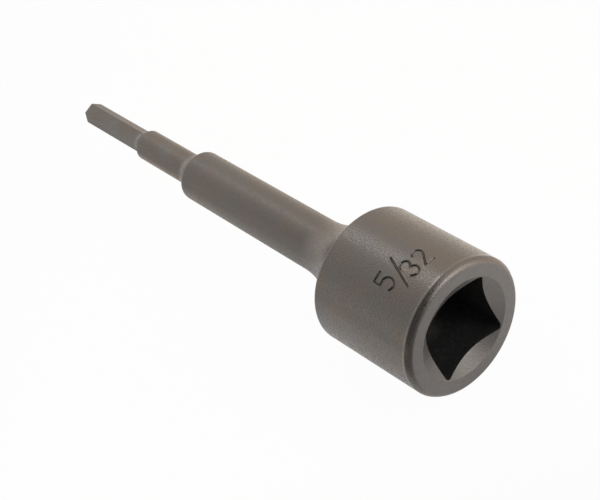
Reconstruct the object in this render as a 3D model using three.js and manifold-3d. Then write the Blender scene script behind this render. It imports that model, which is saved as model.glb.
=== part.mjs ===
// Hex bit socket: half-inch square drive, 5/32-inch hexagon blade on a long stepped shank.
// Millimetres, +Z up. The tool lies along X, with the drive face at +X and the hexagon tip at -X.
// The origin is under the middle of its length, on the surface that the drive head lies on.
// Two pieces: the turned socket body, and the bit that is pressed into the bore of its shank.
// Along the tool, places are measured from the drive face (0) towards the tip.

import * as THREE from 'three';
import { mergeVertices } from 'three/addons/utils/BufferGeometryUtils.js';
import Module from 'manifold-3d';

// Hexagon blade of the bit
const HEX_ACROSS_FLATS = 3.9;
const HEX_LENGTH = 19.2;
const HEX_ROLL = THREE.MathUtils.degToRad(15);
const TIP_BEVEL = 0.14;
const BLADE_ROOT_RADIUS = 3.7;
const BLADE_ROOT_SINK = 0.05;

// Round shank of the bit: the collar that shows, its shoulder, and the tail inside the body
const COLLAR_STEP = 0.72;
const COLLAR_LENGTH = 16.9;
const COLLAR_EDGE_BEVEL = 0.2;
const SHOULDER_RADIUS = 4.6;
const TAIL_BEVEL = 0.5;
const TAIL_SETBACK = 0.4;
const PRESS_FIT_GAP = 0.05;

// Shank of the socket body
const SHANK_WALL = 1.74;
const SHANK_LENGTH = 46.4;
const SHANK_EDGE_RADIUS = 0.5;
const BORE_MOUTH_BEVEL = 0.25;

// Square drive socket
const DRIVE_ACROSS_FLATS = 12.95;
const DRIVE_CORNER_RADIUS = 0.95;
const DRIVE_DEPTH = 15.5;
const COUNTERSINK_MARGIN = 0.2;
const COUNTERSINK_ANGLE = THREE.MathUtils.degToRad(120);
const PILOT_CLEARANCE = 0.2;
const PILOT_EXTRA_DEPTH = 1.5;
const PILOT_POINT_ANGLE = THREE.MathUtils.degToRad(118);

// Drive head and the flare that joins it to the shank
const FACE_RING_WIDTH = 2.19;
const FACE_BEVEL_WIDTH = 0.85;
const FACE_BEVEL_LENGTH = 1.0;
const HEAD_LENGTH = 22.0;
const HEAD_BACK_BEVEL = 0.3;
const BACK_SHOULDER_WIDTH = 0.95;
const FLARE_RADIUS = 16.0;

// Finish: dark phosphated steel, a little warmer on the body than on the bit
const BODY_COLOUR = 0x69635e;
const BIT_COLOUR = 0x6e6862;
const STEEL_ROUGHNESS = 0.5;
const STEEL_METALNESS = 0.7;

// Facets, and how far a cutter runs past the face that it opens
const ROUND_SEGMENTS = 32;
const ARC_STEPS = 4;
const CUT_OVERRUN = 1.0;

// Radii that follow from the sizes above
const hexCornerRadius = HEX_ACROSS_FLATS / Math.sqrt(3);
const bitRadius = hexCornerRadius + COLLAR_STEP;
const boreRadius = bitRadius + PRESS_FIT_GAP;
const shankRadius = boreRadius + SHANK_WALL;
const driveCornerReach = (DRIVE_ACROSS_FLATS / 2 - DRIVE_CORNER_RADIUS) * Math.SQRT2 + DRIVE_CORNER_RADIUS;
const countersinkRadius = driveCornerReach + COUNTERSINK_MARGIN;
const pilotRadius = DRIVE_ACROSS_FLATS / 2 - PILOT_CLEARANCE;
const faceRingRadius = countersinkRadius + FACE_RING_WIDTH;
const headRadius = faceRingRadius + FACE_BEVEL_WIDTH;
const flareFootRadius = headRadius - HEAD_BACK_BEVEL - BACK_SHOULDER_WIDTH;
const shoulderFootRadius = shankRadius - SHANK_EDGE_RADIUS;
const rootFootRadius = bitRadius - COLLAR_EDGE_BEVEL;
const rootEndRadius = HEX_ACROSS_FLATS / 2 - BLADE_ROOT_SINK;

// Length of a hollow arc that leaves the thinner radius smoothly and ends at the thicker one
function arcLength(arcRadius, thick, thin) {
  return Math.sqrt(arcRadius ** 2 - (arcRadius - thick + thin) ** 2);
}

// Places along the tool, from the drive face towards the tip
const flareEnd = HEAD_LENGTH + arcLength(FLARE_RADIUS, flareFootRadius, shankRadius);
const shankEnd = HEAD_LENGTH + SHANK_LENGTH;
const shoulderStart = shankEnd + PRESS_FIT_GAP;
const shoulderEnd = shoulderStart + arcLength(SHOULDER_RADIUS, shoulderFootRadius, bitRadius);
const collarEnd = shankEnd + COLLAR_LENGTH;
const rootEnd = collarEnd + arcLength(BLADE_ROOT_RADIUS, rootFootRadius, rootEndRadius);
const tipEnd = collarEnd + HEX_LENGTH;
const pilotEnd = DRIVE_DEPTH + PILOT_EXTRA_DEPTH;
const pilotPointLength = (pilotRadius - boreRadius) / Math.tan(PILOT_POINT_ANGLE / 2);
const tailEnd = pilotEnd + pilotPointLength + TAIL_SETBACK;

// The head is faceted with one flat facet underneath, so the axis is this high when it lies down
const axisHeight = headRadius * Math.cos(Math.PI / ROUND_SEGMENTS);

const wasm = await Module();
wasm.setup();

// Turns a radius-against-length outline about the tool's axis, which is +Y until the tool is laid down
function turned(outline) {
  const points = outline.getPoints(ARC_STEPS);
  return new THREE.LatheGeometry(points, ROUND_SEGMENTS, Math.PI / ROUND_SEGMENTS);
}

// Welds a closed geometry into a solid that can be joined and cut
function toSolid(geometry) {
  const bare = geometry.clone();
  bare.deleteAttribute('normal');
  bare.deleteAttribute('uv');
  const welded = mergeVertices(bare);
  const corners = Array.from(welded.index.array);
  const kept = [];
  for (let i = 0; i < corners.length; i += 3) {
    const triangle = corners.slice(i, i + 3);
    if (new Set(triangle).size === 3) {
      kept.push(...triangle);
    }
  }
  const mesh = new wasm.Mesh({
    numProp: 3,
    vertProperties: Float32Array.from(welded.attributes.position.array),
    triVerts: Uint32Array.from(kept),
  });
  return new wasm.Manifold(mesh);
}

// Turns a finished solid back into geometry
function toGeometry(solid) {
  const mesh = solid.getMesh();
  const geometry = new THREE.BufferGeometry();
  geometry.setAttribute('position', new THREE.BufferAttribute(mesh.vertProperties, 3));
  geometry.setIndex(new THREE.BufferAttribute(mesh.triVerts, 1));
  geometry.computeVertexNormals();
  return geometry;
}

// Adds a hollow arc that ends on the thinner radius
function addHollowArc(outline, arcRadius, thin, start, end) {
  const turn = Math.asin((end - start) / arcRadius);
  outline.absarc(thin + arcRadius, end, arcRadius, Math.PI + turn, Math.PI, true);
}

// Outline of the socket body with its bore, from the face ring round to the bore again
function bodyOutline() {
  const outline = new THREE.Path();
  outline.moveTo(boreRadius, 0);
  outline.lineTo(faceRingRadius, 0);
  outline.lineTo(headRadius, FACE_BEVEL_LENGTH);
  outline.lineTo(headRadius, HEAD_LENGTH - HEAD_BACK_BEVEL);
  outline.lineTo(headRadius - HEAD_BACK_BEVEL, HEAD_LENGTH);
  addHollowArc(outline, FLARE_RADIUS, shankRadius, HEAD_LENGTH, flareEnd);
  outline.absarc(
    shankRadius - SHANK_EDGE_RADIUS, shankEnd - SHANK_EDGE_RADIUS, SHANK_EDGE_RADIUS, 0, Math.PI / 2, false,
  );
  outline.lineTo(boreRadius + BORE_MOUTH_BEVEL, shankEnd);
  outline.lineTo(boreRadius, shankEnd - BORE_MOUTH_BEVEL);
  outline.closePath();
  return outline;
}

// Round part of the drive opening: countersink, then the pilot hole with its drill point
function driveBoreOutline() {
  const countersinkSlope = Math.tan(COUNTERSINK_ANGLE / 2);
  const outline = new THREE.Path();
  outline.moveTo(0, -CUT_OVERRUN);
  outline.lineTo(countersinkRadius + CUT_OVERRUN * countersinkSlope, -CUT_OVERRUN);
  outline.lineTo(pilotRadius, (countersinkRadius - pilotRadius) / countersinkSlope);
  outline.lineTo(pilotRadius, pilotEnd);
  outline.lineTo(0, pilotEnd + pilotRadius / Math.tan(PILOT_POINT_ANGLE / 2));
  return outline;
}

// Square part of the drive opening, with rounded corners
function driveSquareGeometry() {
  const reach = DRIVE_ACROSS_FLATS / 2 - DRIVE_CORNER_RADIUS;
  const square = new THREE.Shape();
  for (let quarter = 0; quarter < 4; quarter += 1) {
    const start = quarter * Math.PI / 2;
    const x = reach * Math.sign(Math.cos(start + Math.PI / 4));
    const y = reach * Math.sign(Math.sin(start + Math.PI / 4));
    square.absarc(x, y, DRIVE_CORNER_RADIUS, start, start + Math.PI / 2, false);
  }
  square.closePath();
  const prism = new THREE.ExtrudeGeometry(square, {
    depth: DRIVE_DEPTH + CUT_OVERRUN,
    bevelEnabled: false,
    curveSegments: ARC_STEPS,
  });
  prism.rotateX(-Math.PI / 2);
  prism.translate(0, -CUT_OVERRUN, 0);
  return prism;
}

function socketBodyGeometry() {
  const opening = toSolid(turned(driveBoreOutline())).add(toSolid(driveSquareGeometry()));
  return toGeometry(toSolid(turned(bodyOutline())).subtract(opening));
}

// Round bar of the bit: tail, shoulder that seats on the shank's end, collar and root of the blade
function bitShankOutline() {
  const outline = new THREE.Path();
  outline.moveTo(0, tailEnd);
  outline.lineTo(bitRadius - TAIL_BEVEL, tailEnd);
  outline.lineTo(bitRadius, tailEnd + TAIL_BEVEL);
  outline.lineTo(bitRadius, shoulderStart);
  addHollowArc(outline, SHOULDER_RADIUS, bitRadius, shoulderStart, shoulderEnd);
  outline.lineTo(bitRadius, collarEnd - COLLAR_EDGE_BEVEL);
  addHollowArc(outline, BLADE_ROOT_RADIUS, rootEndRadius, collarEnd, rootEnd);
  outline.lineTo(0, rootEnd);
  return outline;
}

// Turned envelope that bevels the end of the hexagon; it starts inside the collar
function tipEnvelopeOutline() {
  const wideRadius = hexCornerRadius + TIP_BEVEL;
  const outline = new THREE.Path();
  outline.moveTo(0, collarEnd - CUT_OVERRUN);
  outline.lineTo(wideRadius, collarEnd - CUT_OVERRUN);
  outline.lineTo(wideRadius, tipEnd - 2 * TIP_BEVEL);
  outline.lineTo(hexCornerRadius - TIP_BEVEL, tipEnd);
  outline.lineTo(0, tipEnd);
  return outline;
}

function hexBitGeometry() {
  const barLength = HEX_LENGTH + 2 * CUT_OVERRUN;
  const bar = new THREE.CylinderGeometry(hexCornerRadius, hexCornerRadius, barLength, 6);
  bar.rotateY(HEX_ROLL);
  bar.translate(0, collarEnd + HEX_LENGTH / 2, 0);
  const blade = toSolid(bar).intersect(toSolid(turned(tipEnvelopeOutline())));
  return toGeometry(toSolid(turned(bitShankOutline())).add(blade));
}

function piece(name, geometry, color) {
  const material = new THREE.MeshStandardMaterial({
    color,
    roughness: STEEL_ROUGHNESS,
    metalness: STEEL_METALNESS,
  });
  const mesh = new THREE.Mesh(geometry, material);
  mesh.name = name;
  return mesh;
}

// Both pieces share the tool's axis; the group lays the tool down along X
const tool = new THREE.Group();
tool.add(piece('socket_body', socketBodyGeometry(), BODY_COLOUR));
tool.add(piece('hex_bit', hexBitGeometry(), BIT_COLOUR));
tool.rotation.z = Math.PI / 2;
tool.position.set(tipEnd / 2, 0, axisHeight);

const hexBitSocket = new THREE.Group();
hexBitSocket.add(tool);

export default hexBitSocket;
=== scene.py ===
"""Hex bit socket: the visual model, the studio and the camera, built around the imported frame."""
import math
from collections import namedtuple

import bpy
import numpy as np
from mathutils import Matrix, Vector


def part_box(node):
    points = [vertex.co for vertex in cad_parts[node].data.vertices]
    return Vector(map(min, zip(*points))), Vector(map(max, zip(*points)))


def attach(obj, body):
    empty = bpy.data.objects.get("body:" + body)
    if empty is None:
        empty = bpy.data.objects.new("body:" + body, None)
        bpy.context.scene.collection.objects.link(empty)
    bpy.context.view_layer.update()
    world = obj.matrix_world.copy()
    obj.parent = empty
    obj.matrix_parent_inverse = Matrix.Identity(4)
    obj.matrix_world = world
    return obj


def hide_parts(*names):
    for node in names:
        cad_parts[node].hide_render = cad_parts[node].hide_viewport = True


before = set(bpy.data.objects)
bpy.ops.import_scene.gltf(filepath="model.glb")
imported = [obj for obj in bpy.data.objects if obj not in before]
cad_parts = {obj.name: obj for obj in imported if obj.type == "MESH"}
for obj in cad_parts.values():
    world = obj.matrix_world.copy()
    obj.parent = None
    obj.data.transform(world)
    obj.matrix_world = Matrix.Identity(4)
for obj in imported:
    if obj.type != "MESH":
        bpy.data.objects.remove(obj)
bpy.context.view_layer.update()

# The frame is in metres; the sizes of the tool are in millimetres, the CAD model's own unit
MM = 0.001

# Hexagon blade of the bit
HEX_ACROSS_FLATS = 3.9
HEX_LENGTH = 19.2
HEX_ROLL = math.radians(15)
HEX_EDGE_RADIUS = 0.12
TIP_BEVEL = 0.14
TIP_LEAST_BEVEL = 0.07
TIP_EDGE_FILLET = 0.04
BLADE_ROOT_RADIUS = 3.7
BLADE_ROOT_SINK = 0.05

# Round shank of the bit: the collar that shows, its shoulder, and the tail inside the body
COLLAR_STEP = 0.72
COLLAR_LENGTH = 16.9
COLLAR_EDGE_BEVEL = 0.2
COLLAR_EDGE_FILLET = 0.1
SHOULDER_RADIUS = 4.6
SHOULDER_FILLET = 0.03
TAIL_BEVEL = 0.5
TAIL_FILLET = 0.1
TAIL_SETBACK = 0.4
PRESS_FIT_GAP = 0.05

# Shank of the socket body
SHANK_WALL = 1.74
SHANK_LENGTH = 46.4
SHANK_EDGE_RADIUS = 0.5
BORE_MOUTH_BEVEL = 0.25
BORE_MOUTH_FILLET = 0.06

# Square drive socket
DRIVE_ACROSS_FLATS = 12.95
DRIVE_CORNER_RADIUS = 0.95
DRIVE_DEPTH = 15.5
DRIVE_EDGE_FILLET = 0.1
DRIVE_FLOOR_FILLET = 0.1
COUNTERSINK_MARGIN = 0.2
COUNTERSINK_ANGLE = math.radians(120)
COUNTERSINK_RIM_FILLET = 0.1
PILOT_CLEARANCE = 0.2
PILOT_EXTRA_DEPTH = 1.5
PILOT_POINT_ANGLE = math.radians(118)
PILOT_MOUTH_FILLET = 0.08
PILOT_FILLET = 0.1

# Drive head and the flare that joins it to the shank
FACE_RING_WIDTH = 2.19
FACE_BEVEL_WIDTH = 0.85
HEAD_LENGTH = 22.0
HEAD_BACK_BEVEL = 0.3
HEAD_BACK_FILLET = 0.45
BACK_SHOULDER_WIDTH = 0.95
SHOULDER_ROOT_FILLET = 0.5
FLARE_RADIUS = 16.0

# Rolled edge of the face, from the side of the head to the ring: (length, slope in degrees at its end)
FACE_EDGE = ((0.05, 24), (0.55, 36), (0.25, 50), (0.42, 68), (0.14, 90))
FACE_EDGE_STEP = 0.05

# Worn line on the side of the head, beside the rolled edge: (mm from the edge, wear)
EDGE_LINE = ((0.6, 0.0), (0.45, 0.4), (0.35, 1.0), (0.2, 1.0), (0.1, 0.4))

# How worn the other edges are, from 0 to 1
TIP_WEAR = 0.6
COLLAR_EDGE_WEAR = 0.5
SHOULDER_WEAR = 0.3
TAIL_WEAR = 0.2
BORE_MOUTH_WEAR = 0.3
BORE_RIM_WEAR = 0.5
SHANK_EDGE_WEAR = 1.0
HEAD_BACK_WEAR = 0.6
COUNTERSINK_RIM_WEAR = 0.7
DRIVE_EDGE_WEAR = 0.8
PILOT_MOUTH_WEAR = 0.2

# The hollow arcs get a painted sheen, paler towards their thick end: how pale, and the share of
# the arc it builds up in
FLARE_PALE, FLARE_PALE_SHARE = 1.0, 0.55
ROOT_PALE, ROOT_PALE_SHARE = 1.7, 0.25

# The face's own finish, a lighter tone that is partly painted light, starts this far inside the side of
# the head and is full after the fade; in the countersink only a share of the lighter tone is left, as
# painted shade
FACE_FINISH_INSET = 0.5
FACE_FINISH_FADE = 0.4
COUNTERSINK_LIT_SHARE = 0.6

# Size numerals pressed into the head: the strokes' section with its raised lip (its place and width
# in slopes), and the field of fine mesh, in mm round the head from its top and mm from the face
NUMERAL_HALF_WIDTH = 0.08
NUMERAL_SLOPE = 0.12
NUMERAL_DEPTH = 0.24
NUMERAL_LIP = 0.02
NUMERAL_LIP_PLACE = 1.6
NUMERAL_LIP_WIDTH = 0.7
NUMERAL_FIELD = (-6.4, 3.5)
NUMERAL_ROWS_FROM = 4.0
NUMERAL_ROWS_TO = 11.4
NUMERAL_STEP = 0.075
NUMERAL_ROWS = round((NUMERAL_ROWS_TO - NUMERAL_ROWS_FROM) / NUMERAL_STEP)
NUMERAL_ARC_POINTS = 12

# No numeral is pressed this close to the ends of the head, or off the head by more than the tolerance
NUMERAL_CLEAR = 2.0
SAME_RADIUS = 1e-6

# Mesh density round the axis: the plain step, the steps near the hexagon's and the square's corners
COARSE_TURN = math.radians(1.25)
HEX_CORNER_TURN = math.radians(0.35)
HEX_CORNER_REACH = math.radians(2.6)
SQUARE_CORNER_TURN = 2 * HEX_CORNER_TURN
SQUARE_CORNER_REACH = 3 * HEX_CORNER_REACH
ANGLE_DIGITS = 9

# Mesh rows in a fillet, in a hollow arc and on each straight stretch
FILLET_ROWS = 5
ARC_STEPS = 20
TIP_ROWS = 4
BLADE_ROWS = 22
COLLAR_ROWS = 16
TAIL_ROWS = 24
TAIL_END_ROWS = 3
SHANK_ROWS = 30
HEAD_ROWS = 8
RING_ROWS = 4
COUNTERSINK_ROWS = 4
WALL_ROWS = 12
POINT_ROWS = 3
BORE_ROWS = 24
STEP_ROWS = 2
BEVEL_ROWS = 1

# A fillet takes at most this share of a stretch, and has a supporting row this far beside it, in mm
# and as the largest share of the stretch
FILLET_SHARE = 0.45
SUPPORT = 0.07
SUPPORT_SHARE = 0.2

# Radii that follow from the sizes above
HEX_CORNER_RADIUS = HEX_ACROSS_FLATS / math.sqrt(3)
BIT_RADIUS = HEX_CORNER_RADIUS + COLLAR_STEP
BORE_RADIUS = BIT_RADIUS + PRESS_FIT_GAP
SHANK_RADIUS = BORE_RADIUS + SHANK_WALL
DRIVE_REACH = (DRIVE_ACROSS_FLATS / 2 - DRIVE_CORNER_RADIUS) * math.sqrt(2) + DRIVE_CORNER_RADIUS
COUNTERSINK_RADIUS = DRIVE_REACH + COUNTERSINK_MARGIN
COUNTERSINK_SLOPE = math.tan(COUNTERSINK_ANGLE / 2)
PILOT_RADIUS = DRIVE_ACROSS_FLATS / 2 - PILOT_CLEARANCE
FACE_RING_RADIUS = COUNTERSINK_RADIUS + FACE_RING_WIDTH
HEAD_RADIUS = FACE_RING_RADIUS + FACE_BEVEL_WIDTH
FACE_DEPTH = (COUNTERSINK_RADIUS - DRIVE_ACROSS_FLATS / 2) / COUNTERSINK_SLOPE + DRIVE_EDGE_FILLET
FLARE_FOOT_RADIUS = HEAD_RADIUS - HEAD_BACK_BEVEL - BACK_SHOULDER_WIDTH
SHOULDER_FOOT_RADIUS = SHANK_RADIUS - SHANK_EDGE_RADIUS
ROOT_FOOT_RADIUS = BIT_RADIUS - COLLAR_EDGE_BEVEL
ROOT_END_RADIUS = HEX_ACROSS_FLATS / 2 - BLADE_ROOT_SINK


def arc_length(arc_radius, thick, thin):
    """Length of a hollow arc that leaves the thinner radius smoothly and ends at the thicker one."""
    return math.sqrt(arc_radius ** 2 - (arc_radius - thick + thin) ** 2)


# Places along the tool, from the drive face towards the tip
FLARE_END = HEAD_LENGTH + arc_length(FLARE_RADIUS, FLARE_FOOT_RADIUS, SHANK_RADIUS)
SHANK_END = HEAD_LENGTH + SHANK_LENGTH
SHOULDER_START = SHANK_END + PRESS_FIT_GAP
SHOULDER_END = SHOULDER_START + arc_length(SHOULDER_RADIUS, SHOULDER_FOOT_RADIUS, BIT_RADIUS)
COLLAR_END = SHANK_END + COLLAR_LENGTH
ROOT_END = COLLAR_END + arc_length(BLADE_ROOT_RADIUS, ROOT_FOOT_RADIUS, ROOT_END_RADIUS)
TIP_END = COLLAR_END + HEX_LENGTH
PILOT_END = DRIVE_DEPTH + PILOT_EXTRA_DEPTH
POINT_END = PILOT_END + (PILOT_RADIUS - BORE_RADIUS) / math.tan(PILOT_POINT_ANGLE / 2)
TAIL_END = POINT_END + TAIL_SETBACK

# Where the tool lies in the frame
bit_low, bit_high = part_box("hex_bit")
DRIVE_FACE_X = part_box("socket_body")[1].x / MM
AXIS_HEIGHT = (bit_low.z + bit_high.z) / 2 / MM

# One corner of an outline: its fillet, how worn it is, and the rows of mesh up to the next corner
Corner = namedtuple("Corner", "place radius fillet wear rows", defaults=(0, 0, 0))


def polygon_radius(angle, sides, apothem, edge):
    """Distance from the axis to a regular polygon with rounded edges; one flat faces angle 0."""
    half = math.pi / sides
    off = abs((angle + half) % (2 * half) - half)
    if apothem * math.tan(off) <= (apothem - edge) * math.tan(half):
        return apothem / math.cos(off)
    centre = (apothem - edge) / math.cos(half)
    turn = half - off
    return centre * math.cos(turn) + math.sqrt(edge ** 2 - (centre * math.sin(turn)) ** 2)


def drive_wall(angle):
    """The drive socket's radius at one angle, and the place where its wall meets the countersink."""
    radius = polygon_radius(angle, 4, DRIVE_ACROSS_FLATS / 2, DRIVE_CORNER_RADIUS)
    return radius, (COUNTERSINK_RADIUS - radius) / COUNTERSINK_SLOPE


def hollow_arc(arc_radius, thin, start, end, least=0.0):
    """Corners of a hollow arc from its thin end towards its thick one, none below the least radius."""
    turn = math.asin((end - start) / arc_radius)
    corners = []
    for step in range(ARC_STEPS):
        at = turn * step / ARC_STEPS
        radius = max(least, thin + arc_radius * (1 - math.cos(at)))
        corners.append(Corner(end - arc_radius * math.sin(at), radius))
    return corners


def face_edge():
    """Corners of the worn line and the rolled edge between the side of the head and the face ring."""
    place, radius, slope = 0.0, HEAD_RADIUS, 0.0
    spots = [(place, radius)]
    for length, end_slope in FACE_EDGE:
        count = math.ceil(length / FACE_EDGE_STEP)
        for step in range(count):
            tilt = math.radians(slope + (end_slope - slope) * (step + 0.5) / count)
            place -= length / count * math.cos(tilt)
            radius -= length / count * math.sin(tilt)
            spots.append((place, radius))
        slope = end_slope
    line = [Corner(gap - place, HEAD_RADIUS, wear=wear) for gap, wear in EDGE_LINE]
    corners = [Corner(spot - place, at) for spot, at in spots]
    return [*line, *corners[:-1], corners[-1]._replace(rows=RING_ROWS)]


def body_corners(angle):
    """Outline of the socket body at one angle: bore mouth, outside, face, drive socket, bore."""
    wall, wall_start = drive_wall(angle)
    rim_radius = BORE_RADIUS + BORE_MOUTH_BEVEL
    back_radius = HEAD_RADIUS - HEAD_BACK_BEVEL / 2
    return [
        Corner(SHANK_END - BORE_MOUTH_BEVEL, BORE_RADIUS, BORE_MOUTH_FILLET, BORE_MOUTH_WEAR, BEVEL_ROWS),
        Corner(SHANK_END, rim_radius, BORE_MOUTH_FILLET, BORE_RIM_WEAR, STEP_ROWS),
        Corner(SHANK_END, SHANK_RADIUS, SHANK_EDGE_RADIUS, SHANK_EDGE_WEAR, SHANK_ROWS),
        *hollow_arc(FLARE_RADIUS, SHANK_RADIUS, HEAD_LENGTH, FLARE_END),
        Corner(HEAD_LENGTH, FLARE_FOOT_RADIUS, SHOULDER_ROOT_FILLET, rows=BEVEL_ROWS),
        Corner(HEAD_LENGTH, back_radius, HEAD_BACK_FILLET, HEAD_BACK_WEAR),
        Corner(HEAD_LENGTH - HEAD_BACK_BEVEL, HEAD_RADIUS, HEAD_BACK_FILLET, HEAD_BACK_WEAR, HEAD_ROWS),
        Corner(NUMERAL_ROWS_TO, HEAD_RADIUS, rows=NUMERAL_ROWS),
        Corner(NUMERAL_ROWS_FROM, HEAD_RADIUS, rows=STEP_ROWS),
        *face_edge(),
        Corner(0, COUNTERSINK_RADIUS, COUNTERSINK_RIM_FILLET, COUNTERSINK_RIM_WEAR, COUNTERSINK_ROWS),
        Corner(wall_start, wall, DRIVE_EDGE_FILLET, DRIVE_EDGE_WEAR, WALL_ROWS),
        Corner(DRIVE_DEPTH, wall, DRIVE_FLOOR_FILLET, rows=STEP_ROWS),
        Corner(DRIVE_DEPTH, PILOT_RADIUS, PILOT_MOUTH_FILLET, PILOT_MOUTH_WEAR, STEP_ROWS),
        Corner(PILOT_END, PILOT_RADIUS, PILOT_FILLET, rows=POINT_ROWS),
        Corner(POINT_END, BORE_RADIUS, PILOT_FILLET, rows=BORE_ROWS),
    ]


def bit_corners(angle):
    """Outline of the bit at one angle, from the tip's centre to the tail's centre."""
    flat_angle = angle - HEX_ROLL - math.pi / 6
    side = polygon_radius(flat_angle, 6, HEX_ACROSS_FLATS / 2, HEX_EDGE_RADIUS)
    bevel = max(TIP_LEAST_BEVEL, side - HEX_CORNER_RADIUS + TIP_BEVEL)
    collar_edge = COLLAR_END - COLLAR_EDGE_BEVEL
    return [
        Corner(TIP_END, 0, rows=TIP_ROWS),
        Corner(TIP_END, side - bevel, TIP_EDGE_FILLET, TIP_WEAR, BEVEL_ROWS),
        Corner(TIP_END - bevel, side, TIP_EDGE_FILLET, TIP_WEAR, BLADE_ROWS),
        *hollow_arc(BLADE_ROOT_RADIUS, ROOT_END_RADIUS, COLLAR_END, ROOT_END, side),
        Corner(COLLAR_END, ROOT_FOOT_RADIUS, COLLAR_EDGE_FILLET, COLLAR_EDGE_WEAR, BEVEL_ROWS),
        Corner(collar_edge, BIT_RADIUS, COLLAR_EDGE_FILLET, COLLAR_EDGE_WEAR, COLLAR_ROWS),
        *hollow_arc(SHOULDER_RADIUS, BIT_RADIUS, SHOULDER_START, SHOULDER_END),
        Corner(SHOULDER_START, SHOULDER_FOOT_RADIUS, SHOULDER_FILLET, SHOULDER_WEAR, STEP_ROWS),
        Corner(SHOULDER_START, BIT_RADIUS, SHOULDER_FILLET, rows=TAIL_ROWS),
        Corner(TAIL_END + TAIL_BEVEL, BIT_RADIUS, TAIL_FILLET, TAIL_WEAR, BEVEL_ROWS),
        Corner(TAIL_END, BIT_RADIUS - TAIL_BEVEL, TAIL_FILLET, TAIL_WEAR, TAIL_END_ROWS),
        Corner(TAIL_END, 0),
    ]


def fillet_ends(before, point, after, fillet):
    """Where the fillet of a corner starts and ends on the lines to the points beside it."""
    if fillet == 0:
        return point, point
    back, ahead = before - point, after - point
    back_length, ahead_length = np.linalg.norm(back), np.linalg.norm(ahead)
    cosine = np.clip(back @ ahead / (back_length * ahead_length), -1, 1)
    reach = fillet / math.tan(math.acos(cosine) / 2)
    cut = min(reach, FILLET_SHARE * back_length, FILLET_SHARE * ahead_length)
    return point + back / back_length * cut, point + ahead / ahead_length * cut


def corner_rows(corner, start, point, end):
    """Rows (place, radius, wear) of one corner; a fillet is most worn in its middle."""
    if corner.fillet == 0:
        return [(*point, corner.wear)]
    rows = []
    for step in range(FILLET_ROWS):
        k = step / (FILLET_ROWS - 1)
        bend = (1 - k) ** 2 * start + 2 * k * (1 - k) * point + k ** 2 * end
        rows.append((*bend, corner.wear * math.sin(math.pi * k)))
    return rows


def stretch_shares(rows, length, fillet_first, fillet_last):
    """Where the mesh rows of a straight stretch lie, from 0 to 1, with one close to each fillet."""
    margin = min(SUPPORT / max(length, SUPPORT), SUPPORT_SHARE)
    shares = [row / (rows + 1) for row in range(1, rows + 1)]
    if fillet_first:
        shares.insert(0, min(margin, shares[0] / 2) if shares else margin)
    if fillet_last:
        shares.append(max(1 - margin, (1 + shares[-1]) / 2) if shares else 1 - margin)
    return shares


def rounded_outline(corners, closed):
    """Rows (place, radius, wear) along an outline, with its corners rounded and its edges supported."""
    count = len(corners)
    points = [np.array((corner.place, corner.radius)) for corner in corners]
    spans = []
    for i, corner in enumerate(corners):
        spans.append(fillet_ends(points[i - 1], points[i], points[(i + 1) % count], corner.fillet))
    rows = []
    for i, corner in enumerate(corners):
        start, end = spans[i]
        rows.extend(corner_rows(corner, start, points[i], end))
        following = (i + 1) % count
        if following == 0 and not closed:
            break
        stretch = spans[following][0] - end
        length = np.linalg.norm(stretch)
        shares = stretch_shares(corner.rows, length, corner.fillet > 0, corners[following].fillet > 0)
        rows.extend((*(end + stretch * share), 0.0) for share in shares)
    return np.array(rows)


def turns(fine_fields):
    """Angles round the axis, with a finer step inside the given (from, to, step) fields."""
    angles = set()
    for start, stop, step in fine_fields:
        count = max(1, round((stop - start) / step))
        for i in range(count + 1):
            angles.add(round((start + (stop - start) * i / count) % math.tau, ANGLE_DIGITS))
    coarse_count = round(math.tau / COARSE_TURN)
    for i in range(coarse_count):
        angle = i * math.tau / coarse_count
        clear = True
        for start, stop, _ in fine_fields:
            inside = (angle - start + COARSE_TURN / 2) % math.tau
            clear = clear and inside > stop - start + COARSE_TURN
        if clear:
            angles.add(round(angle, ANGLE_DIGITS))
    return sorted(angles)


def arc_points(centre, reach, start, stop):
    """Points of an elliptical stroke between two angles in degrees."""
    angles = np.radians(np.linspace(start, stop, NUMERAL_ARC_POINTS))
    return [(centre[0] + reach[0] * math.cos(a), centre[1] + reach[1] * math.sin(a)) for a in angles]


def numeral_strokes():
    """The size numerals as strokes: (mm round the head from its top, mm from the drive face)."""
    five = [(-3.75, 10.7), (-5.6, 10.7), (-5.6, 9.35), *arc_points((-4.8, 8.2), (1.05, 1.2), 100, -140)]
    slash = [(-3.6, 4.7), (-1.05, 10.7)]
    three = [
        *arc_points((-1.05, 7.55), (0.9, 0.85), 170, -70),
        *arc_points((-1.0, 5.7), (0.95, 0.95), 75, -165),
    ]
    two = [*arc_points((1.75, 7.5), (0.9, 0.9), 160, -35), (0.85, 4.8), (2.65, 4.75)]
    return [five, slash, three, two]


def stroke_distance(across, place):
    """Distance in mm from points on the unrolled head to the nearest numeral stroke."""
    nearest = np.full(across.shape, np.inf)
    for stroke in numeral_strokes():
        for (x0, y0), (x1, y1) in zip(stroke, stroke[1:]):
            dx, dy = x1 - x0, y1 - y0
            k = ((across - x0) * dx + (place - y0) * dy) / (dx * dx + dy * dy)
            k = np.clip(k, 0, 1)
            gap = np.hypot(across - x0 - k * dx, place - y0 - k * dy)
            nearest = np.minimum(nearest, gap)
    return nearest


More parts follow.
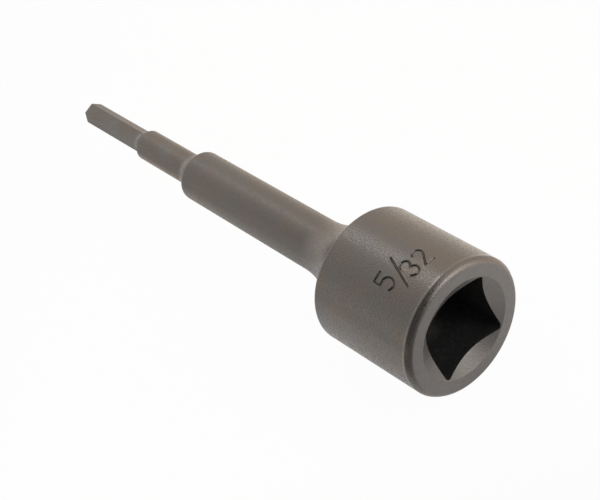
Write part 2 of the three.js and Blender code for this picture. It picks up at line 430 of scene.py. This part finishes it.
def press_numerals(place, radius, angles):
    """Sinks the numerals into the head; returns the new radii and how deep each point lies, 0 to 1."""
    across = HEAD_RADIUS * ((np.array(angles) + math.pi) % math.tau - math.pi)
    across = np.broadcast_to(across, place.shape)
    slopes_off = (stroke_distance(across, place) - NUMERAL_HALF_WIDTH) / NUMERAL_SLOPE
    slope = np.clip(slopes_off, 0, 1)
    sunk = 1 - slope * slope * (3 - 2 * slope)
    lip = np.exp(-(((slopes_off - NUMERAL_LIP_PLACE) / NUMERAL_LIP_WIDTH) ** 2))
    on_side = np.abs(radius - HEAD_RADIUS) < SAME_RADIUS
    on_head = on_side & (place > NUMERAL_CLEAR) & (place < HEAD_LENGTH - NUMERAL_CLEAR)
    sunk = np.where(on_head, sunk, 0.0)
    lip = np.where(on_head, lip, 0.0)
    return radius - NUMERAL_DEPTH * sunk + NUMERAL_LIP * lip, sunk


def fade(values, start, full):
    """0 up to the start, 1 from the full value on, and even between them."""
    return np.clip((values - start) / (full - start), 0, 1)


def arc_paleness(place, start, end, most, share):
    """How much painted sheen points of a hollow arc get, from 0 at its thin end; 0 outside the arc."""
    on_arc = (place > start) & (place < end)
    return on_arc * most * fade(place, end, end - share * (end - start))


def frame_points(place, radius, angles):
    """Points of the frame, in metres, for places along the tool and radii at the given angles."""
    angle = np.broadcast_to(np.array(angles), place.shape)
    x = DRIVE_FACE_X - place
    y = radius * np.sin(angle)
    z = AXIS_HEIGHT + radius * np.cos(angle)
    return np.stack((x, y, z), axis=-1).reshape(-1, 3) * MM


def ring_faces(rows, columns, closed):
    """Quads between neighbouring rows of a grid that goes all the way round."""
    faces = []
    for row in range(rows if closed else rows - 1):
        below, above = row * columns, (row + 1) % rows * columns
        for column in range(columns):
            beside = (column + 1) % columns
            faces.append((below + column, above + column, above + beside, below + beside))
    return faces


def make_piece(name, points, faces, marks, material, node):
    """A smooth mesh piece that stands for a CAD node, with one number per point for each mark."""
    mesh = bpy.data.meshes.new(name)
    mesh.from_pydata([tuple(point) for point in points], [], faces)
    for mark, values in marks.items():
        mesh.attributes.new(mark, "FLOAT", "POINT").data.foreach_set("value", values)
    mesh.polygons.foreach_set("use_smooth", [True] * len(mesh.polygons))
    mesh.materials.append(material)
    mesh.update()
    piece = bpy.data.objects.new(name, mesh)
    bpy.context.scene.collection.objects.link(piece)
    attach(piece, "root")
    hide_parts(node)


def body_marks(place, radius, angles):
    """Finish marks: turned face with painted light, dull socket, smooth areas, painted sheen on flare."""
    face_starts = HEAD_RADIUS - FACE_FINISH_INSET
    face = fade(radius, face_starts, face_starts - FACE_FINISH_FADE) * (place < FACE_DEPTH)
    ring = fade(radius, COUNTERSINK_RADIUS, COUNTERSINK_RADIUS + COUNTERSINK_RIM_FILLET)
    wall_start = np.array([drive_wall(angle)[1] for angle in angles])
    inside = np.arange(len(place))[:, None] > np.argmin(place, axis=0)
    # Painted sheen on the flare, paler towards the head
    pale = arc_paleness(place, HEAD_LENGTH, FLARE_END, FLARE_PALE, FLARE_PALE_SHARE)
    return {
        # The face's lighter tone, partly painted light; less of it in the countersink paints shade there
        "turned_and_lit": face * (COUNTERSINK_LIT_SHARE + (1 - COUNTERSINK_LIT_SHARE) * ring),
        "bored": inside * fade(place, wall_start, wall_start + DRIVE_EDGE_FILLET),
        "smooth": np.maximum(face, fade(place, HEAD_LENGTH, FLARE_END)),
        "pale": pale * (radius > SHANK_RADIUS),
    }


def make_body(material):
    """The socket body: one turned skin with the square socket and the numerals in it."""
    fields = [tuple(length / HEAD_RADIUS for length in (*NUMERAL_FIELD, NUMERAL_STEP))]
    for quarter in range(4):
        corner = math.pi / 4 + quarter * math.pi / 2
        fields.append((corner - SQUARE_CORNER_REACH, corner + SQUARE_CORNER_REACH, SQUARE_CORNER_TURN))
    angles = turns(fields)
    grid = np.stack([rounded_outline(body_corners(angle), True) for angle in angles], axis=1)
    place, radius, wear = grid[..., 0], grid[..., 1], grid[..., 2]
    radius, sunk = press_numerals(place, radius, angles)
    points = frame_points(place, radius, angles)
    faces = ring_faces(*place.shape, True)
    marks = {"wear": wear, "sunk": sunk, **body_marks(place, radius, angles)}
    marks["smooth"] = np.maximum(marks["smooth"], sunk)
    marks = {mark: values.ravel() for mark, values in marks.items()}
    make_piece("socket_body_skin", points, faces, marks, material, "socket_body")


def make_bit(material):
    """The bit: hexagon blade with a bevelled tip, collar, and the tail inside the body."""
    fields = []
    for side in range(6):
        corner = HEX_ROLL + side * math.pi / 3
        fields.append((corner - HEX_CORNER_REACH, corner + HEX_CORNER_REACH, HEX_CORNER_TURN))
    angles = turns(fields)
    grid = np.stack([rounded_outline(bit_corners(angle), False) for angle in angles], axis=1)
    place, radius, wear = grid[1:-1, :, 0], grid[1:-1, :, 1], grid[1:-1, :, 2]
    end_points = [(DRIVE_FACE_X - end, 0, AXIS_HEIGHT) for end in (TIP_END, TAIL_END)]
    points = np.vstack((frame_points(place, radius, angles), np.array(end_points) * MM))
    rows, columns = place.shape
    tip, tail = rows * columns, rows * columns + 1
    last = (rows - 1) * columns
    faces = ring_faces(rows, columns, False)
    for column in range(columns):
        beside = (column + 1) % columns
        faces.append((tip, column, beside))
        faces.append((tail, last + beside, last + column))
    # Painted sheen on the shoulder and the blade root, paler towards their thick ends
    pale = arc_paleness(place, SHOULDER_START, SHOULDER_END, ROOT_PALE, ROOT_PALE_SHARE)
    pale += arc_paleness(place, COLLAR_END, ROOT_END, ROOT_PALE, ROOT_PALE_SHARE)
    marks = {"wear": wear, "pale": pale, "smooth": np.ones(place.shape)}
    marks = {mark: np.append(values.ravel(), (0, 0)) for mark, values in marks.items()}
    make_piece("hex_bit_skin", points, faces, marks, material, "hex_bit")


# Spans of a value, from where it starts to where it ends
RISING = (0.0, 1.0)
FALLING = (1.0, 0.0)


def feed(tree, socket, value):
    """Links an input to another socket, or gives it a plain value."""
    if isinstance(value, bpy.types.NodeSocket):
        tree.links.new(value, socket)
    else:
        socket.default_value = value


def add_node(tree, kind, **inputs):
    """A shader node with the given inputs, each under the name of its socket."""
    node = tree.nodes.new(kind)
    for name, value in inputs.items():
        feed(tree, node.inputs[name], value)
    return node


def noise(tree, place, scale, detail, roughness):
    """Noise from 0 to 1."""
    node = add_node(
        tree, "ShaderNodeTexNoise", Vector=place, Scale=scale, Detail=detail, Roughness=roughness,
    )
    return node.outputs["Fac"]


def ramp(tree, factor, positions, colours):
    """A colour ramp with a colour at each position."""
    node = add_node(tree, "ShaderNodeValToRGB", Fac=factor)
    elements = node.color_ramp.elements
    while len(elements) < len(positions):
        elements.new(positions[-1])
    for element, position, colour in zip(elements, positions, colours):
        element.position = position
        element.color = (*colour, 1)
    return node.outputs["Color"]


def remap(tree, value, span, onto=RISING):
    """A value moved from one span onto another, and held at its ends."""
    node = tree.nodes.new("ShaderNodeMapRange")
    for socket, number in zip(node.inputs, (value, *span, *onto)):
        feed(tree, socket, number)
    return node.outputs[0]


def combine(tree, operation, one, other):
    """A number made of two others."""
    node = tree.nodes.new("ShaderNodeMath")
    node.operation = operation
    feed(tree, node.inputs[0], one)
    feed(tree, node.inputs[1], other)
    return node.outputs[0]


def multiply(tree, one, other):
    """The product of two numbers."""
    return combine(tree, "MULTIPLY", one, other)


def either(tree, one, other):
    """The larger of two numbers."""
    return combine(tree, "MAXIMUM", one, other)


def measure(tree, operation, vector, fixed):
    """A number made of a vector and a fixed one."""
    node = tree.nodes.new("ShaderNodeVectorMath")
    node.operation = operation
    feed(tree, node.inputs[0], vector)
    feed(tree, node.inputs[1], fixed)
    return node.outputs["Value"]


def along(tree, vector, direction):
    """How far a vector reaches along a direction."""
    return measure(tree, "DOT_PRODUCT", vector, direction.normalized())


def mix_colour(tree, factor, one, other):
    """One colour where the factor is 0, the other where it is 1."""
    node = tree.nodes.new("ShaderNodeMix")
    node.data_type = "RGBA"
    feed(tree, node.inputs["Factor"], factor)
    sockets = [socket for socket in node.inputs if socket.type == "RGBA"]
    for socket, colour in zip(sockets, (one, other)):
        feed(tree, socket, colour if isinstance(colour, bpy.types.NodeSocket) else (*colour, 1))
    return next(socket for socket in node.outputs if socket.type == "RGBA")


def attribute(tree, name):
    """A mark of the mesh."""
    node = tree.nodes.new("ShaderNodeAttribute")
    node.attribute_name = name
    return node.outputs["Fac"]


# Phosphated steel: linear colours of the dark, middle and light grains on the body, the bit and the
# turned face (partly painted light), the brown stains, the bare metal of worn edges, also the painted
# sheen on the hollow arcs, and the darker colour in the numerals' grooves
BODY_GRAINS = ((0.150, 0.139, 0.129), (0.156, 0.145, 0.135), (0.163, 0.152, 0.142))
BIT_GRAINS = ((0.166, 0.154, 0.143), (0.172, 0.160, 0.149), (0.180, 0.168, 0.157))
FACE_LIT_GRAINS = ((0.187, 0.175, 0.165), (0.197, 0.184, 0.174), (0.208, 0.195, 0.185))
BROWN_STAIN = (0.170, 0.1445, 0.125)
BARE_STEEL_AND_SHEEN = (0.238, 0.222, 0.208)
NUMERAL_GROOVE_COLOUR = (0.03, 0.026, 0.023)

# The noise in it, per metre: stains, mottled colour and the fine grain, each with (detail, roughness)
STAIN_SCALE, STAIN_NOISE = 180, (3, 0.55)
MOTTLE_SCALE, MOTTLE_NOISE = 1500, (4, 0.65)
GRAIN_SCALE, GRAIN_NOISE = 3800, (0, 0.55)

# How the noise is used: the grains' places in the mottle, the stains' span, the span of the mottle
# that breaks up the wear and the painted sheen and the share of bare metal it gives, and the depth at
# which the numerals' grooves darken and by how much
GRAIN_PLACES = (0.3, 0.5, 0.72)
STAIN_SPAN = (0.38, 0.62)
WEAR_AND_SHEEN_SPAN, WEAR_AND_SHEEN_SHARE = (0.35, 0.65), (0.2, 0.6)
GROOVE_DARK_SPAN, GROOVE_DARK_SHARE = (0.1, 0.5), (0.0, 0.4)

# Roughness of the dull and the bright grains, as forged and on smooth areas, the fine grain's span
# between them, how it changes on worn edges and in the drive socket, and the grain's relief (metres)
GRAIN_SPAN = (0.3, 0.7)
DULL_ROUGHNESS = (0.43, 0.46)
BRIGHT_ROUGHNESS = (0.18, 0.33)
WORN_ROUGHNESS = (1.0, 0.3)
WALL_ROUGHNESS = (1.0, 1.8)
RELIEF_STRENGTH = 0.4
RELIEF_DEPTH = 0.00005

# The dull walls of the drive socket are darkest at the mouth (mm from the drive face), and a spot on
# the lower wall (mm from the drive face, mm beside the axis, reach) is lighter, a painted pool of light
WALL_GRAINS = ((0.018, 0.0175, 0.017), (0.028, 0.027, 0.026), (0.06, 0.058, 0.056))
WALL_GRAIN_PLACES = (0.35, 0.55, 0.75)
MOUTH_COLOUR = (0.011, 0.0105, 0.01)
MOUTH_DARK, MOUTH_FADED = 1.5, 5.0
LIT_PATCH_COLOUR = (0.11, 0.105, 0.1)
LIT_PATCH_DEPTH, LIT_PATCH_SIDE, LIT_PATCH_REACH = 10.5, -0.6, 3.2


def wall_colour(tree, place, mottle):
    """The colour of the walls inside the drive socket, with a painted pool of light on the lower wall."""
    colour = ramp(tree, mottle, WALL_GRAIN_PLACES, WALL_GRAINS)
    mouth_span = [(DRIVE_FACE_X - depth) * MM for depth in (MOUTH_FADED, MOUTH_DARK)]
    mouth = remap(tree, along(tree, place, Vector((1, 0, 0))), mouth_span)
    colour = mix_colour(tree, mouth, colour, MOUTH_COLOUR)
    # A painted pool of light on the lower wall, deep in the socket
    lower_wall = AXIS_HEIGHT - DRIVE_ACROSS_FLATS / 2
    spot = Vector((DRIVE_FACE_X - LIT_PATCH_DEPTH, LIT_PATCH_SIDE, lower_wall)) * MM
    lit_patch = remap(tree, measure(tree, "DISTANCE", place, spot), (0.0, LIT_PATCH_REACH * MM), FALLING)
    return mix_colour(tree, lit_patch, colour, LIT_PATCH_COLOUR)


def steel_colour(tree, place, mottle, grains):
    """Mottled grains, brown stains, turned face with painted light, bare metal, painted sheen on arcs,
    darker numeral grooves.
    """
    colour = ramp(tree, mottle, GRAIN_PLACES, grains)
    stains = noise(tree, place, STAIN_SCALE, *STAIN_NOISE)
    colour = mix_colour(tree, remap(tree, stains, STAIN_SPAN), colour, BROWN_STAIN)
    # The face's lighter tone: turned metal, lifted with painted light
    face = ramp(tree, mottle, GRAIN_PLACES, FACE_LIT_GRAINS)
    colour = mix_colour(tree, attribute(tree, "turned_and_lit"), colour, face)
    # Bare metal on worn edges; the same colour paints a sheen on the hollow arcs
    wear_and_sheen = either(tree, attribute(tree, "wear"), attribute(tree, "pale"))
    wear_and_sheen_mix = multiply(tree, wear_and_sheen, remap(tree, mottle, WEAR_AND_SHEEN_SPAN, WEAR_AND_SHEEN_SHARE))
    colour = mix_colour(tree, wear_and_sheen_mix, colour, BARE_STEEL_AND_SHEEN)
    # Darker in the numerals' grooves, the deeper the darker
    groove_dark = remap(tree, attribute(tree, "sunk"), GROOVE_DARK_SPAN, GROOVE_DARK_SHARE)
    return mix_colour(tree, groove_dark, colour, NUMERAL_GROOVE_COLOUR)


def steel_roughness(tree, grain, bored):
    """Dull and bright grains; more alike on smooth areas, brighter on worn edges, dull in the socket."""
    smooth = attribute(tree, "smooth")
    dull = remap(tree, smooth, RISING, DULL_ROUGHNESS)
    bright = remap(tree, smooth, RISING, BRIGHT_ROUGHNESS)
    roughness = remap(tree, grain, GRAIN_SPAN, (dull, bright))
    roughness = multiply(tree, roughness, remap(tree, attribute(tree, "wear"), RISING, WORN_ROUGHNESS))
    return multiply(tree, roughness, remap(tree, bored, RISING, WALL_ROUGHNESS))


def steel(name, grains):
    """Dark phosphated steel with a fine grain; inside the drive socket it is dull and not metallic."""
    material = bpy.data.materials.new(name)
    material.use_nodes = True
    tree = material.node_tree
    shader = tree.nodes["Principled BSDF"]
    place = tree.nodes.new("ShaderNodeTexCoord").outputs["Object"]
    mottle = noise(tree, place, MOTTLE_SCALE, *MOTTLE_NOISE)
    grain = noise(tree, place, GRAIN_SCALE, *GRAIN_NOISE)
    bored = attribute(tree, "bored")
    outside = steel_colour(tree, place, mottle, grains)
    colour = mix_colour(tree, bored, outside, wall_colour(tree, place, mottle))
    relief = add_node(
        tree, "ShaderNodeBump", Strength=RELIEF_STRENGTH, Distance=RELIEF_DEPTH, Height=grain,
    )
    feed(tree, shader.inputs["Base Color"], colour)
    feed(tree, shader.inputs["Metallic"], remap(tree, bored, RISING, FALLING))
    feed(tree, shader.inputs["Roughness"], steel_roughness(tree, grain, bored))
    feed(tree, shader.inputs["Normal"], relief.outputs["Normal"])
    return material


# Studio floor: pale, nearly plain white to the camera, and with a little glow in reflections
FLOOR_SIZE = 4.0
FLOOR_COLOUR = (0.86, 0.86, 0.86)
FLOOR_GLOW = 0.42
FLOOR_WHITE_SEEN = 0.97

# Parts of the floor with another colour, painted shade where darker and painted warm light where
# warmer, for the tool's reflections: the side they lie on, where they start and where they are full in
# metres from the middle of the tool, their colour, and their glow in reflections
FLOOR_LIGHT_AND_SHADE_PARTS = (
    (Vector((0.766, -0.643, 0)), (0.05, 0.066), (0.28, 0.28, 0.28), 0.42),
    (Vector((0, 1, 0)), (0.018, 0.045), (0.95, 0.86, 0.77), 0.62),
    (Vector((-0.8, 0.6, 0)), (0.005, 0.035), (0.89, 0.806, 0.72), 0.62),
    (Vector((-0.8, -0.6, 0)), (0.036, 0.06), (0.7, 0.7, 0.7), 0.42),
)

# White surround: the direction it is dim in, the cosines between which it dims, how bright it is
# there, and its warm glow on the other side
DIM_SIDE = Vector((0.492, -0.587, 0.643))
DIM_SPAN = (math.cos(math.radians(80)), math.cos(math.radians(40)))
DIM_STRENGTH = 0.2
BACK_GLOW = (1.08, 1.0, 0.91)
BACK_GLOW_SPAN = (0.0, -0.45)


def glowing(colour, strength):
    """A colour times the strength of its glow."""
    return [strength * value for value in colour]


def paper():
    """Floor material: lit paper, glowing in reflections with painted shade and warm light on parts; white
    to the camera.
    """
    material = bpy.data.materials.new("studio_paper")
    material.use_nodes = True
    tree = material.node_tree
    tree.nodes.clear()
    rays = tree.nodes.new("ShaderNodeLightPath").outputs
    place = tree.nodes.new("ShaderNodeTexCoord").outputs["Object"]
    colour, glow_colour = FLOOR_COLOUR, glowing(FLOOR_COLOUR, FLOOR_GLOW)
    # Painted shade and painted warm light on parts of the floor, as the tool's reflections see it
    for side, span, painted_colour, painted_glow in FLOOR_LIGHT_AND_SHADE_PARTS:
        share = remap(tree, along(tree, place, side), span)
        colour = mix_colour(tree, share, colour, painted_colour)
        glow_colour = mix_colour(tree, share, glow_colour, glowing(painted_colour, painted_glow))
    mirrored = either(tree, rays["Is Glossy Ray"], rays["Is Transmission Ray"])
    diffuse = add_node(tree, "ShaderNodeBsdfDiffuse", Color=colour)
    glow = add_node(tree, "ShaderNodeEmission", Color=glow_colour, Strength=mirrored)
    white = add_node(tree, "ShaderNodeEmission", Color=(1, 1, 1, 1), Strength=1.0)
    lit = tree.nodes.new("ShaderNodeAddShader")
    feed(tree, lit.inputs[0], diffuse.outputs[0])
    feed(tree, lit.inputs[1], glow.outputs[0])
    seen = multiply(tree, rays["Is Camera Ray"], FLOOR_WHITE_SEEN)
    mixed = add_node(tree, "ShaderNodeMixShader", Fac=seen)
    feed(tree, mixed.inputs[1], lit.outputs[0])
    feed(tree, mixed.inputs[2], white.outputs[0])
    add_node(tree, "ShaderNodeOutputMaterial", Surface=mixed.outputs[0])
    return material


def make_floor():
    """A pale floor under the head, which looks white to the camera and keeps a soft shadow."""
    half = FLOOR_SIZE / 2
    height = (AXIS_HEIGHT - HEAD_RADIUS) * MM
    corners = [(-half, -half, height), (half, -half, height), (half, half, height), (-half, half, height)]
    mesh = bpy.data.meshes.new("studio_floor")
    mesh.from_pydata(corners, [], [(0, 1, 2, 3)])
    mesh.materials.append(paper())
    floor = bpy.data.objects.new("studio_floor", mesh)
    bpy.context.scene.collection.objects.link(floor)


def make_world():
    """A white surround; as light and in reflections it is dim on the photographer's side."""
    world = bpy.data.worlds.new("studio_surround")
    world.use_nodes = True
    tree = world.node_tree
    background = tree.nodes["Background"]
    rays = tree.nodes.new("ShaderNodeLightPath").outputs
    direction = tree.nodes.new("ShaderNodeTexCoord").outputs["Generated"]
    forward = along(tree, direction, DIM_SIDE)
    seen = either(tree, rays["Is Camera Ray"], rays["Is Transmission Ray"])
    light = remap(tree, forward, DIM_SPAN, (1.0, DIM_STRENGTH))
    glow = multiply(tree, remap(tree, forward, BACK_GLOW_SPAN), remap(tree, seen, RISING, FALLING))
    feed(tree, background.inputs["Strength"], either(tree, light, seen))
    feed(tree, background.inputs["Color"], mix_colour(tree, glow, (1, 1, 1), BACK_GLOW))
    bpy.context.scene.world = world


# White lamps: azimuth and elevation in degrees, size in metres, power in watts
LAMPS = {
    "lamp_right_low": (135, 14, 0.9, 2.0),
    "lamp_right_mid": (110, 25, 0.7, 2.3),
    "lamp_right_high": (120, 48, 0.7, 0.9),
    "lamp_left_high": (247, 50, 0.36, 0.34),
    "lamp_left_low": (275, 14, 0.9, 0.34),
}
LAMP_DISTANCE = 1.2


def outward(azimuth, elevation):
    """Unit vector away from the tool; the azimuth is 0 at -Y and a quarter turn at +X."""
    level = math.cos(elevation)
    return Vector((math.sin(azimuth) * level, -math.cos(azimuth) * level, math.sin(elevation)))


def make_lamps():
    """Soft square lamps that face the middle of the tool."""
    middle = Vector((0, 0, AXIS_HEIGHT * MM))
    for name, (azimuth, elevation, size, power) in LAMPS.items():
        lamp = bpy.data.lights.new(name, "AREA")
        lamp.shape = "SQUARE"
        lamp.size = size
        lamp.energy = power
        holder = bpy.data.objects.new(name, lamp)
        towards = outward(math.radians(azimuth), math.radians(elevation))
        holder.location = middle + towards * LAMP_DISTANCE
        holder.rotation_euler = towards.to_track_quat("Z", "Y").to_euler()
        bpy.context.scene.collection.objects.link(holder)


# The photograph's camera: the point it looks at (mm from the middle of the drive face), its angles,
# distance (mm) and lens, and how near and far it sees (metres)
CAMERA_AIM = (-37.84, -2.29, -0.95)
CAMERA_AZIMUTH = math.radians(66.934)
CAMERA_ELEVATION = math.radians(43.505)
CAMERA_ROLL = math.radians(27.472)
CAMERA_DISTANCE = 255.66
CAMERA_LENS = 89.564
CAMERA_SENSOR = 36.0
CAMERA_NEAR, CAMERA_FAR = 0.01, 20.0


def make_camera():
    """The camera at the photograph's viewing angle; the roll leans its top to the right."""
    back = outward(CAMERA_AZIMUTH, CAMERA_ELEVATION)
    flat_right = Vector((0, 0, 1)).cross(back).normalized()
    flat_up = back.cross(flat_right)
    up = flat_up * math.cos(CAMERA_ROLL) + flat_right * math.sin(CAMERA_ROLL)
    right = up.cross(back)
    lens = bpy.data.cameras.new("photo_camera")
    lens.sensor_fit = "HORIZONTAL"
    lens.sensor_width = CAMERA_SENSOR
    lens.lens = CAMERA_LENS
    lens.clip_start = CAMERA_NEAR
    lens.clip_end = CAMERA_FAR
    camera = bpy.data.objects.new("photo_camera", lens)
    bpy.context.scene.collection.objects.link(camera)
    face_middle = Vector((DRIVE_FACE_X, 0, AXIS_HEIGHT))
    location = (face_middle + Vector(CAMERA_AIM) + back * CAMERA_DISTANCE) * MM
    turn = Matrix((right, up, back)).transposed().to_4x4()
    camera.matrix_world = Matrix.Translation(location) @ turn
    bpy.context.scene.camera = camera


bpy.context.scene.view_settings.view_transform = "Standard"
make_camera()
make_world()
make_floor()
make_lamps()
make_body(steel("phosphated_body_steel", BODY_GRAINS))
make_bit(steel("phosphated_bit_steel", BIT_GRAINS))
